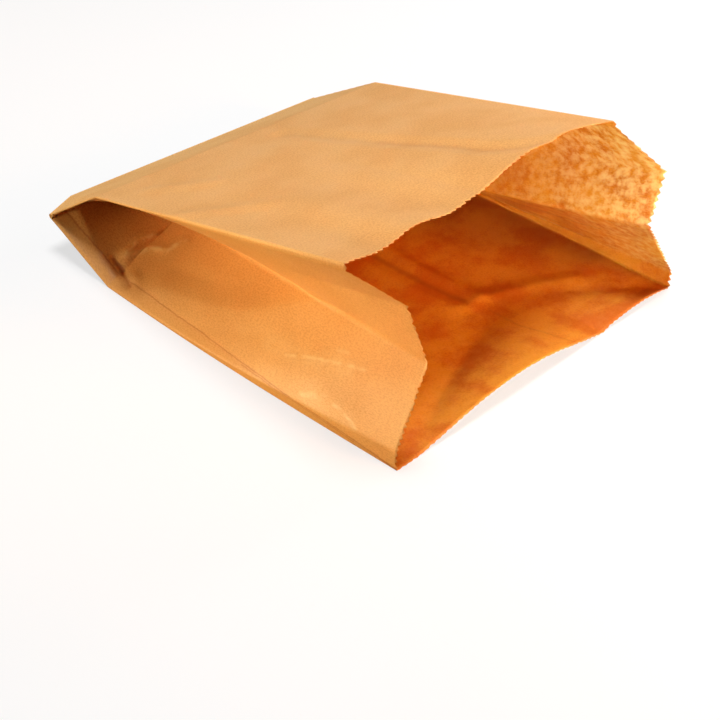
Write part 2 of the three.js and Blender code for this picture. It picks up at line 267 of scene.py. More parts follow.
def profile_corners(size):
    """Corners of the side profile as (x, z), with x = 0 at the lower cross crease."""
    lower_run = size.length - size.lower_slope
    upper_run = size.length - size.upper_slope - size.lip
    reach = math.sqrt(upper_run ** 2 - (size.mouth_height - size.end_height) ** 2)
    lower_cross = np.array([0.0, 0.0])
    upper_cross = np.array([-size.end_lean, size.end_height])
    apart = np.linalg.norm(upper_cross)
    up = upper_cross / apart
    rise = (size.lower_slope ** 2 - size.upper_slope ** 2 + apart ** 2) / (2 * apart)
    away = math.sqrt(size.lower_slope ** 2 - rise ** 2)
    return SimpleNamespace(
        lower_run=lower_run,
        lower_cross=lower_cross,
        upper_cross=upper_cross,
        lower_mouth=np.array([lower_run, 0.0]),
        upper_mouth=np.array([reach - size.end_lean, size.mouth_height]),
        bottom=np.array([up[0] * rise - up[1] * away, up[1] * rise + up[0] * away]),
    )


def along(rows, bottom, cross, mouth):
    """Value in each row, straight from the bottom fold to the cross crease and on to the mouth."""
    end, body = rows.end[..., None], rows.body[..., None]
    return bottom * (1 - end) + cross * (end - body) + mouth * body


def side_folds(size, corners, side, rows):
    """Points of the lower and the upper fold of one side."""
    stack = np.array([0.0, STACK_GAPS / 2 * size.tight_fold])
    skew = np.array([-size.skew_back, size.skew_rise]) * (side == NEAR)
    low = along(rows, corners.bottom + skew - stack, corners.lower_cross, corners.lower_mouth)
    high = along(rows, corners.bottom + skew + stack, corners.upper_cross + skew, corners.upper_mouth)
    edge = side * size.width / 2
    mouth_edge = side * size.mouth_span / 2 - size.mouth_shift
    upper_y = along(rows, edge, side * size.end_span / 2, mouth_edge)[..., 0]
    whole = (rows.end * size.lower_slope + rows.body * corners.lower_run) / size.length
    lower_y = edge + side * size.lower_swell * hump(whole)
    lower = vector(low[..., 0], lower_y, low[..., 1])
    upper = vector(high[..., 0], upper_y, high[..., 1])
    return lower, upper


def gusset_fold(size, corners, side, end, body, lean):
    """The gusset's middle fold in one row: half the gusset's width from both of the side's folds."""
    row = SimpleNamespace(end=np.array([end]), body=np.array([body]))
    lower, upper = (fold[0] for fold in side_folds(size, corners, side, row))
    chord = upper - lower
    half = np.linalg.norm(chord) / 2
    depth = math.sqrt(max((size.gusset / 2) ** 2 - half ** 2, 0))
    inward = np.array([lean, -side, 0.0])
    axis = chord / (2 * half)
    inward -= axis * (inward @ axis)
    return (lower + upper) / 2 + inward / np.linalg.norm(inward) * depth


def side_lines(size, corners, side, rows):
    """The six lines of one side: each fold is a narrow strip with a line on both its sides."""
    lower, upper = side_folds(size, corners, side, rows)
    places = (0.0, 0.0, 0.0), (1.0, 0.0, 0.0), (1.0, 1.0, size.gusset_lean)
    crease = along(rows, *(gusset_fold(size, corners, side, *where) for where in places))
    opened = rows.body ** size.fold_growth
    gap = size.tight_fold + (size.open_fold - size.tight_fold) * opened
    lower_gap = size.tight_fold + (size.open_lower_fold - size.tight_fold) * opened
    rise = unit(upper - lower) * gap[..., None]
    return {
        "panel_low": lower,
        "gusset_low": lower + vector(0.0, 0.0, lower_gap),
        "crease_low": crease - rise / 2,
        "crease_high": crease + rise / 2,
        "gusset_high": upper - rise,
        "panel_high": upper,
    }


def flat_shape(size, corners, share, rows):
    """A fold's strip is straight across."""
    return 0.0


def lower_panel_shape(size, corners, share, rows):
    """The lower panel lies flat, and in front of one fold line its edge lifts in two waves."""
    across = share * size.width
    near = hump((across - size.lift_start) / (size.lift_end - size.lift_start)) ** size.lift_sharpness
    far = hump((across - size.lift_end) / (size.width - size.lift_end)) ** size.far_lift_sharpness
    wave = size.lower_lift * near + size.far_lift * far
    reach = size.lift_reach / corners.lower_run * tent(across, size.lift_corner, size.width)
    lifted = np.clip(1 - (1 - rows.body) / np.maximum(reach, TINY), 0, 1)
    return vector(0.0, 0.0, wave * lifted)


def upper_panel_shape(size, corners, share, rows):
    """The upper panel waves along its normal, more and more towards the mouth."""
    across = share * size.mouth_span
    rest = (across - size.crest_width) / (size.mouth_span - size.crest_width)
    dips = np.sin(np.pi * DIP_COUNT * np.maximum(rest, 0)) ** 2
    wave = size.crest * hump(across / size.crest_width) - size.dip * dips
    reach, rise = unit(corners.upper_mouth - corners.upper_cross)
    return np.array([-rise, 0.0, reach]) * (wave * rows.body ** size.wave_growth)[..., None]


def lower_half_shape(side):
    """The gusset's lower half swells outwards in its middle."""
    def shape(size, corners, share, rows):
        return vector(0.0, side * size.side_swell * hump(share) * hump(rows.body), 0.0)
    return shape


def upper_half_shape(bend):
    """The gusset's upper half bends along its middle at the mouth."""
    def shape(size, corners, share, rows):
        bent = np.maximum(1 - (1 - rows.body) * corners.lower_run / size.bend_reach, 0)
        growth = tent(share, BEND_PLACE, 1) * bent ** size.bend_growth
        return np.array(getattr(size, bend)) * growth[..., None]
    return shape


def face(name, side, start, width, shape, slack, handled, cloudy=0.3, teeth=1):
    """One face of the sheet: its first line and width, how loose, worn and cloudy it is, and its teeth."""
    return SimpleNamespace(**locals())


def sheet_faces(size):
    """Faces in order round the tube, from the near lower fold across the lower panel and over the top."""
    half = size.gusset / 2
    lower, fold = size.open_lower_fold, size.open_fold
    return [
        face("lower_panel", NEAR, "panel_low", size.width, lower_panel_shape, 0.4, 0.6, teeth=0.4),
        face("far_lower_fold", FAR, "panel_low", lower, flat_shape, 0, 0),
        face("far_lower_half", FAR, "gusset_low", half, lower_half_shape(FAR), 0.6, 1, 0.8),
        face("far_crease", FAR, "crease_low", fold, flat_shape, 0, 0, 0.8),
        face("far_upper_half", FAR, "crease_high", half, upper_half_shape("far_bend"), 0.6, 1, 1),
        face("far_upper_fold", FAR, "gusset_high", fold, flat_shape, 0, 0),
        face("upper_panel", FAR, "panel_high", size.width, upper_panel_shape, 1, 0.35, teeth=1.2),
        face("near_upper_fold", NEAR, "panel_high", fold, flat_shape, 0, 0),
        face("near_upper_half", NEAR, "gusset_high", half, upper_half_shape("near_bend"), 0.6, 0.5),
        face("near_crease", NEAR, "crease_high", fold, flat_shape, 0, 0),
        face("near_lower_half", NEAR, "crease_low", half, lower_half_shape(NEAR), 0.8, 1),
        face("near_lower_fold", NEAR, "gusset_low", lower, flat_shape, 0, 0),
    ]


def sheet_grid(size, corners):
    """Columns on each notch and tip of the cut edge, and rows with a close pair at the cross crease."""
    faces = sheet_faces(size)
    strips = [2 * max(1, round(here.width / size.tooth_pitch)) for here in faces]
    of_face = np.repeat(np.arange(len(faces)), strips)
    share = np.concatenate([np.arange(count) / count for count in strips])
    widths = np.array([here.width for here in faces])
    starts = np.append(0, np.cumsum(widths))
    columns = SimpleNamespace(
        face=of_face, share=share, u=starts[of_face] + share * widths[of_face], round=starts[-1]
    )
    crisp = CRISP_ROW * size.row_pitch
    end_rows = np.linspace(0, 1, round(size.lower_slope / size.row_pitch), endpoint=False)
    body_rows = np.linspace(0, 1, round(corners.lower_run / size.row_pitch))
    end_rows = np.append(end_rows, 1 - crisp / size.lower_slope)
    body_rows = np.insert(body_rows, 1, crisp / corners.lower_run)
    end = np.concatenate([end_rows, np.ones(len(body_rows))])
    body = np.concatenate([np.zeros(len(end_rows)), body_rows])
    shape = (len(end), len(columns.u))
    rows = SimpleNamespace(
        end=np.broadcast_to(end[:, None], shape),
        body=np.broadcast_to(body[:, None], shape),
        v=end * size.lower_slope + body * corners.lower_run,
    )
    return faces, columns, rows


def bend_ears(size, corners, points):
    """Bends both ends of the bottom fold down like a dog's ear, along a slanting line."""
    on_end = np.clip(points[..., 0] / corners.bottom[0], 0, 1)
    from_edge = np.maximum(size.width / 2 - np.abs(points[..., 1]), 0)
    points[..., 2] -= size.ear_drop * np.maximum(on_end - from_edge / size.ear_length, 0)
    return points


def folded_points(size, corners, faces, columns, rows):
    """The sheet's middle surface, one point for each row and column."""
    lines = {side: side_lines(size, corners, side, rows) for side in (NEAR, FAR)}
    points = np.zeros(rows.end.shape + (3,))
    for index, here in enumerate(faces):
        after = faces[(index + 1) % len(faces)]
        pick = columns.face == index
        share = columns.share[pick]
        part = SimpleNamespace(end=rows.end[:, pick], body=rows.body[:, pick])
        first = lines[here.side][here.start][:, pick]
        last = lines[after.side][after.start][:, pick]
        points[:, pick] = first * (1 - share)[:, None] + last * share[:, None]
        points[:, pick] += here.shape(size, corners, np.broadcast_to(share, part.end.shape), part)
    return bend_ears(size, corners, points)


# Kinds of crease: a pressed form, a line painted lighter for scuffed paper and its painted glints, and a
# line of painted shade
FORM, SCUFF, SHADE = "form", "scuff", "shade"
INNER_FACES = "lower_panel", "far_lower_half"  # their creases are seen from inside the bag
LAP_FACE = "near_lower_half"
LAP_EDGE = (
    (0.86, 0), (0.86, 16), (0.83, 60), (0.855, 111), (0.943, 153), (1.03, 178), (1.12, 206), (1.18, 229),
)
LAP_PRESS = ((0.94, 140), (0.97, 153), (1.056, 178), (1.146, 206))
# What is pressed into each face or painted on it: kind, width in millimetres, height in millimetres or
# strength of colour, and places as shares of the face's width and millimetres from the bottom fold
CREASES = {
    "near_lower_half": (
        # A broad ridge, two crumpled ridges at the bottom end, creases scuffed in handling with painted
        # glints on them, and painted shade in one valley
        (FORM, 12, 1.3, (0.70, 76), (0.60, 100), (0.50, 118), (0.36, 134), (0.18, 147), (0, 159)),
        (FORM, 4, 0.9, (0.66, 42), (0.44, 50), (0.35, 60), (0.18, 64)),
        (FORM, 4, 0.8, (0.65, 42), (0.49, 41), (0.30, 45)),
        (FORM, 3.5, -0.9, (0.79, 39), (0.81, 48), (0.87, 57)),
        (FORM, 3.5, 0.8, (0.90, 42), (0.86, 50), (0.76, 56)),
        (SCUFF, 2.6, 1.0, (0.66, 42), (0.44, 50), (0.35, 60), (0.18, 64)),
        (SCUFF, 2.4, 0.85, (0.65, 42), (0.49, 41), (0.30, 45)),
        (SCUFF, 2.0, 0.75, (0.59, 160), (0.48, 174), (0.40, 189), (0.35, 200)),
        (SCUFF, 2.0, 0.5, (0.30, 183), (0.29, 189)),
        (SCUFF, 2.0, 0.6, (0.84, 193), (0.89, 200), (0.97, 206)),
        (SCUFF, 3.0, 0.4, (0.90, 176), (0.81, 187)),
        (SCUFF, 9.0, 0.25, (0.55, 150), (0.52, 172), (0.42, 192)),
        (SCUFF, 1.2, 0.5, (0.82, 42), (0.84, 50)),
        (SHADE, 1.6, 0.6, (0.79, 39), (0.81, 48), (0.87, 57)),
        # Painted shadow along the edge of the glued lap and along the line pressed beside it
        (SHADE, 0.7, 0.6, *LAP_EDGE),
        (SHADE, 0.6, 0.5, *LAP_PRESS),
    ),
    "upper_panel": (
        # One long valley towards the mouth, with painted shade in it, and two faint ridges
        (FORM, 8, -1.4, (0.44, 67), (0.39, 134), (0.36, 182), (0.36, 201), (0.32, 219), (0.26, 229)),
        (FORM, 8, 0.8, (0.98, 115), (0.82, 143)),
        (FORM, 8, 0.8, (0.90, 68), (0.79, 93)),
        (SHADE, 4, 0.15, (0.39, 134), (0.36, 182), (0.36, 201), (0.32, 219), (0.26, 229)),
    ),
    "lower_panel": (
        # Inside: a valley between two ridges and the corner of the lifted paper, with painted shade in the
        # valley, at the corner and along one facet's edge, and a broad painted shadow with some grease
        # along the far fold
        (FORM, 6, -1.5, (0.61, 105), (0.61, 145), (0.62, 172)),
        (FORM, 6, -1.1, (0.53, 105), (0.53, 145), (0.54, 172)),
        (FORM, 8, -1.0, (0.58, 172), (0.68, 177), (0.75, 183), (0.86, 194)),
        (SHADE, 3.0, 0.6, (0.57, 105), (0.57, 145), (0.58, 172)),
        (SHADE, 2.5, 0.4, (0.58, 172), (0.62, 172), (0.68, 177)),
        (SHADE, 13, 0.55, (0.98, 90), (0.97, 150), (0.99, 185)),
        (SHADE, 1.2, 0.3, (0.60, 182), (0.59, 201), (0.62, 228)),
    ),
    "far_lower_half": (
        # Inside: two lines of painted shade in creases and the ragged lighter edge of its lower fold
        (SHADE, 1.4, 0.6, (0.45, 130), (0.49, 171), (0.58, 197)),
        (SHADE, 1.2, 0.5, (0.12, 128), (0.17, 166)),
        (SCUFF, 2.2, 0.8, (0.02, 112), (0.04, 178)),
    ),
}


def sheet_places(size, name, places):
    """Places on the named face as points of the flat sheet, in metres."""
    start = 0.0
    for here in sheet_faces(size):
        if here.name == name:
            return [np.array([start + share * here.width, v / MM]) for share, v in places]
        start += here.width
    raise ValueError(f"no face named {name}")


def creases(size, wanted):
    """Every crease of one kind: its face, width in metres, strength and points of the flat sheet."""
    for name, found in CREASES.items():
        for kind, width, strength, *places in found:
            if kind == wanted:
                yield name, width / MM, strength, sheet_places(size, name, places)


def from_line(points, places):
    """Distance of each point of the flat sheet from a line through the places."""
    nearest = np.full(points.shape[:-1], np.inf)
    for start, end in zip(places, places[1:]):
        run = end - start
        share = np.clip((points - start) @ run / (run @ run), 0, 1)
        nearest = np.minimum(nearest, np.linalg.norm(points - start - share[..., None] * run, axis=-1))
    return nearest


def crease_heights(size, flat):
    """How far the broad creases stand out of the sheet at each point."""
    heights = np.zeros(flat.shape[:-1])
    for _, width, height, places in creases(size, FORM):
        heights += height / MM * np.clip(1 - from_line(flat, places) / width, 0, 1)
    return heights


def hem_outline(size, corners):
    """The hem across the bottom fold: its profile along and off the slope, and the same as (x, z)."""
    thick = HEM_PLIES * size.paper
    stack = STACK_GAPS * size.tight_fold
    radius = stack / 2 + thick
    turn = np.linspace(-np.pi / 2, -1.5 * np.pi, HEM_ARC)
    arc = np.stack([radius * np.cos(turn), stack / 2 + radius * np.sin(turn)], axis=-1)
    rim = radius, stack + thick
    profile = np.array([(size.hem, 0), (size.hem, -thick), *arc, rim, (radius, 0)])
    slope = unit(-corners.bottom)
    start = corners.bottom - np.array([0, stack / 2])
    outline = start + profile[:, :1] * slope + profile[:, 1:] * np.array([-slope[1], slope[0]])
    return profile, outline


def frame_shift(size, corners):
    """From the lower cross crease to the frame's origin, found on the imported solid's box."""
    hem_face = hem_outline(size, corners)[1][:, 0].min() - size.skew_back
    near_corner = -size.mouth_span / 2 - size.mouth_shift
    return np.array([CAD_LOW.x - hem_face, CAD_LOW.y - near_corner, CAD_LOW.z + size.paper / 2])


# Meshes

def store(mesh, name, values, kind="FLOAT", domain="POINT"):
    """Keeps one value for each point or face in a named attribute."""
    attribute = mesh.attributes.new(name, kind, domain)
    field = "vector" if kind == "FLOAT_VECTOR" else "value"
    attribute.data.foreach_set(field, np.ascontiguousarray(values, np.float32).ravel())


def ring_mesh(name, points, turn=(0, 1, 2, 3), closed=False):
    """A mesh through rings of points. The turn orders each face's corners."""
    index = np.arange(points[..., 0].size).reshape(points.shape[:2])
    ahead = np.roll(index, -1, axis=1)
    quads = np.stack([index[:-1], ahead[:-1], ahead[1:], index[1:]], axis=-1).reshape(-1, 4)[:, list(turn)]
    ends = [index[0].tolist(), index[-1][::-1].tolist()] if closed else []
    mesh = bpy.data.meshes.new(name)
    mesh.from_pydata(points.reshape(-1, 3), [], quads.tolist() + ends)
    return mesh


def sheet_mesh(size, corners):
    """The folded sheet with no thickness, its flat layout as a UV map, and what the paper tree needs."""
    faces, columns, rows = sheet_grid(size, corners)
    points = folded_points(size, corners, faces, columns, rows) + frame_shift(size, corners)
    mesh = ring_mesh("kraft_sheet", points)
    u, v = np.append(columns.u, columns.round), rows.v
    corner_u = np.stack([u[:-1], u[1:], u[1:], u[:-1]], axis=-1)
    corner_v = np.stack([v[:-1], v[:-1], v[1:], v[1:]], axis=-1)
    corner_u, corner_v = np.broadcast_arrays(corner_u, corner_v[:, None])
    layout = mesh.uv_layers.new(name="sheet")
    layout.uv.foreach_set("vector", np.stack([corner_u, corner_v], axis=-1).astype(np.float32).ravel())
    flat = vector(columns.u[None, :], rows.v[:, None], 0.0)
    store(mesh, "flat", flat, "FLOAT_VECTOR")
    store(mesh, "crease", crease_heights(size, flat[..., :2]))
    loose, worn, cloudy, teeth = (
        np.array([getattr(here, name) for here in faces])[columns.face]
        for name in ("slack", "handled", "cloudy", "teeth")
    )
    inward = np.zeros_like(points)
    inward[-1] = unit(points[-2] - points[-1])
    notch = np.zeros(rows.end.shape)
    notch[-1, ::2] = teeth[::2]
    store(mesh, "inward", inward, "FLOAT_VECTOR")
    store(mesh, "notch", notch)
    store(mesh, "cloudy", cloudy * (1 + smooth(rows.v, *CLOUDY_RISE))[:, None] / 2)
    middle = np.sqrt(hump(columns.share))
    free = smooth(rows.end, 0, 1)
    store(mesh, "slack", loose * middle * free)
    store(mesh, "handled", worn * middle * free)
    edge = np.array(sheet_places(size, LAP_FACE, LAP_EDGE))
    lapped = columns.u > np.interp(rows.v, edge[:, 1], edge[:, 0])[:, None]
    store(mesh, "lapped", lapped)
    store(mesh, "plies", 1 + lapped + END_PLIES * (1 - rows.end))
    return mesh


def hem_mesh(size, corners):
    """The strip that wraps the stacked plies of the bottom end and lies glued under the lower slope."""
    profile, outline = hem_outline(size, corners)
    ear = size.ear_length / size.width
    stops = 0, ear, 1 - ear, 1
    slices = np.unique([np.linspace(start, end, HEM_ARC) for start, end in zip(stops, stops[1:])])
    near = slices[:, None]
    x = outline[:, 0] - size.skew_back * near
    z = outline[:, 1] + size.skew_rise * near
    y = np.broadcast_to((size.width + 2 * size.paper) * (0.5 - near), x.shape)
    points = bend_ears(size, corners, vector(x, y, z)) + frame_shift(size, corners)
    mesh = ring_mesh("kraft_hem", points, turn=(0, 3, 2, 1), closed=True)
    layout = mesh.uv_layers.new(name="sheet")
    along_profile = np.cumsum(np.linalg.norm(np.diff(profile, axis=0, prepend=profile[:1]), axis=-1))
    flat = np.stack(np.broadcast_arrays(near * size.width, -along_profile[None, :]), axis=-1).reshape(-1, 2)
    corners_of = np.zeros(len(mesh.loops), np.int32)
    mesh.loops.foreach_get("vertex_index", corners_of)
    layout.uv.foreach_set("vector", flat[corners_of].astype(np.float32).ravel())
    store(mesh, "plies", np.full(x.shape, float(HEM_PLIES)))
    return mesh


# Node trees

def socket(sockets, key):
    """The socket with that identifier, or with that name where _ stands for a space."""
    for found in sockets:
        if found.identifier == key:
            return found
    return sockets[key.replace("_", " ")]


def feed(tree, targets, values):
    """Sets sockets in order, each to a constant or to another node's output. Colours have no alpha."""
    for target, value in zip(targets, values):
        if isinstance(value, bpy.types.NodeSocket):
            tree.links.new(value, target)
        else:
            target.default_value = (*value, 1) if target.type == "RGBA" else value


def add_node(tree, kind, label, settings=None, **inputs):
    """Adds a node with its settings and inputs."""
    node = tree.nodes.new(kind)
    node.name = node.label = label
    for key, value in (settings or {}).items():
        setattr(node, key, value)
    feed(tree, [socket(node.inputs, key) for key in inputs], inputs.values())
    return node


def calculate(tree, operation, label, *values):
    """One math node's output."""
    node = add_node(tree, "ShaderNodeMath", label, {"operation": operation})
    feed(tree, node.inputs, values)
    return node.outputs[0]


def vectors(tree, operation, label, *values):
    """One vector math node's outputs."""
    node = add_node(tree, "ShaderNodeVectorMath", label, {"operation": operation})
    feed(tree, node.inputs, values)
    return node.outputs


def scaled(tree, label, direction, amount):
    """A vector times a number."""
    return add_node(
        tree, "ShaderNodeVectorMath", label, {"operation": "SCALE"}, Vector=direction, Scale=amount
    ).outputs["Vector"]


def ramp(tree, label, value, span, result=(0.0, 1.0)):
    """A smooth change from the first result to the second as the value crosses the span."""
    return add_node(
        tree, "ShaderNodeMapRange", label, {"interpolation_type": "SMOOTHSTEP"},
        Value=value, From_Min=span[0], From_Max=span[1], To_Min=result[0], To_Max=result[1],
    ).outputs["Result"]


def blend(tree, label, factor, first, second):
    """A mix of two colours."""
    node = add_node(
        tree, "ShaderNodeMix", label, {"data_type": "RGBA"},
        Factor_Float=factor, A_Color=first, B_Color=second,
    )
    return socket(node.outputs, "Result_Color")


def empty_tree(owner):
    """The node tree of a material or world, with nothing in it."""
    owner.use_nodes = True
    owner.node_tree.nodes.clear()
    return owner.node_tree


def mix_to_output(tree, kind, label, share, first, second):
    """Ends a tree with a mix of two shaders, by the share of the second."""
    mixed = add_node(tree, "ShaderNodeMixShader", label, Fac=share)
    tree.links.new(first.outputs[0], mixed.inputs[1])
    tree.links.new(second.outputs[0], mixed.inputs[2])
    output = tree.nodes.new(kind)
    tree.links.new(mixed.outputs["Shader"], output.inputs["Surface"])


TREE_SIZES = "Tooth Depth", "Swell Depth", "Swell Size", "Crumple Depth", "Crumple Size"
NOISE_MIDDLE = 0.5


def paper_tree():
    """Geometry nodes that cut the teeth of the mouth and let the paper wave and crease."""
    tree = bpy.data.node_groups.new("Handled paper", "GeometryNodeTree")
    sizes = [(name, "Float") for name in TREE_SIZES]
    for name, kind in (("Geometry", "Geometry"), *sizes, ("Seed", "Int"), ("Paper", "Material")):
        made = tree.interface.new_socket(name, in_out="INPUT", socket_type="NodeSocket" + kind)
        if kind == "Float":
            made.subtype = "DISTANCE"
    tree.interface.new_socket("Geometry", in_out="OUTPUT", socket_type="NodeSocketGeometry")
    given = tree.nodes.new("NodeGroupInput").outputs

    def attribute(name, kind="FLOAT"):
        node = add_node(tree, "GeometryNodeInputNamedAttribute", name, {"data_type": kind}, Name=name)
        return node.outputs["Attribute"]

    def uneven(label, size, held, depth, sharp):
        scale = calculate(tree, "DIVIDE", "scale", 1.0, size)
        noise = add_node(
            tree, "ShaderNodeTexNoise", label, {"noise_dimensions": "4D"},
            Vector=attribute("flat", "FLOAT_VECTOR"), W=given["Seed"], Scale=scale, Detail=1.0,
        ).outputs["Fac"]
        height = calculate(tree, "SUBTRACT", "about the middle", noise, NOISE_MIDDLE)
        if sharp:
            height = calculate(tree, "ABSOLUTE", "sharp creases", height)
        height = calculate(tree, "MULTIPLY", "where the paper is " + held, height, attribute(held))
        return calculate(tree, "MULTIPLY", "height of the " + label, height, depth)

    random = add_node(
        tree, "FunctionNodeRandomValue", "uneven teeth", {"data_type": "FLOAT"},
        Min_001=UNEVEN_TEETH[0], Max_001=UNEVEN_TEETH[1], Seed=given["Seed"],
    )
    random = socket(random.outputs, "Value_001")
    depth = calculate(tree, "MULTIPLY", "uneven depth", given["Tooth Depth"], random)
    depth = calculate(tree, "MULTIPLY", "notches only", depth, attribute("notch"))
    teeth = add_node(
        tree, "GeometryNodeSetPosition", "cut the teeth", Geometry=given["Geometry"],
        Offset=scaled(tree, "into the sheet", attribute("inward", "FLOAT_VECTOR"), depth),
    )
    normal = add_node(tree, "GeometryNodeInputNormal", "normal").outputs["Normal"]
    wave = uneven("waves", given["Swell Size"], "slack", given["Swell Depth"], sharp=False)
    ridge = uneven("creases", given["Crumple Size"], "handled", given["Crumple Depth"], sharp=True)
    height = calculate(tree, "SUBTRACT", "height", wave, ridge)
    height = calculate(tree, "ADD", "pressed creases", height, attribute("crease"))
    waves = add_node(
        tree, "GeometryNodeSetPosition", "wave and crease",
        Geometry=teeth.outputs["Geometry"], Offset=scaled(tree, "off the sheet", normal, height),
    )
    real = add_node(tree, "GeometryNodeRealizeInstances", "real", Geometry=waves.outputs["Geometry"])
    painted = add_node(
        tree, "GeometryNodeSetMaterial", "paint", Geometry=real.outputs["Geometry"], Material=given["Paper"]
    )
    result = tree.nodes.new("NodeGroupOutput")
    tree.links.new(painted.outputs["Geometry"], result.inputs["Geometry"])
    return tree


def baked(piece):
    """Turns the piece's modifiers into a plain mesh and removes them."""
    evaluated = piece.evaluated_get(bpy.context.evaluated_depsgraph_get())
    mesh = bpy.data.meshes.new_from_object(evaluated)
    old = piece.data
    piece.modifiers.clear()
    piece.data = mesh
    bpy.data.meshes.remove(old)
    mesh.name = piece.name
    return mesh


def line_group():
    """Shader nodes for one straight piece of a crease: 1 on it and 0 a width away, on the flat sheet."""
    tree = bpy.data.node_groups.new("Pressed line", "ShaderNodeTree")
    for name in ("Place", "Start", "Run", "Share"):
        tree.interface.new_socket(name, in_out="INPUT", socket_type="NodeSocketVector")
    tree.interface.new_socket("Width", in_out="INPUT", socket_type="NodeSocketFloat")
    tree.interface.new_socket("Line", in_out="OUTPUT", socket_type="NodeSocketFloat")
    given = tree.nodes.new("NodeGroupInput").outputs
    offset = vectors(tree, "SUBTRACT", "from the start", given["Place"], given["Start"])["Vector"]
    share = vectors(tree, "DOT_PRODUCT", "share of the run", offset, given["Share"])["Value"]
    share = add_node(tree, "ShaderNodeClamp", "on the run", Value=share).outputs["Result"]
    nearest = scaled(tree, "nearest place", given["Run"], share)
    away = vectors(tree, "DISTANCE", "from the line", offset, nearest)["Value"]
    line = ramp(tree, "line", away, (given["Width"], 0.0))
    result = tree.nodes.new("NodeGroupOutput")
    tree.links.new(line, result.inputs["Line"])
    return tree


def crease_lines(tree, group, kind, within, size, point):
    """The strongest line of one kind at each point, on the faces seen from inside the bag or the others."""
    total = None
    for name, width, strength, places in creases(size, kind):
        if (name in INNER_FACES) != within:
            continue
        for start, end in zip(places, places[1:]):
            run = end - start
            line = add_node(
                tree, "ShaderNodeGroup", name, {"node_tree": group}, Place=point, Width=width,
                Start=(*start, 0), Run=(*run, 0), Share=(*(run / (run @ run)), 0),
            ).outputs["Line"]
            line = calculate(tree, "MULTIPLY", "strength", line, strength)
            total = line if total is None else calculate(tree, "MAXIMUM", "with the others", total, line)
    return total


# Parts of each noise that the paper shows, and what stains take from and add to the fibres' colour
FLOC_RANGE = 0.20, 0.80
GRAIN_RANGE = 0.36, 0.70
TONE_RANGE = 0.35, 0.70
STAIN_RANGE = 0.36, 0.66
STAIN_SHARES = -0.25, 0.60
THIN_RANGE = 0.05, 1.10
BREAK_RANGE = 0.30, 0.62
GRAIN_STRETCH = 1.0, 0.6, 1.0
NOISE_ROUGHNESS = 0.6


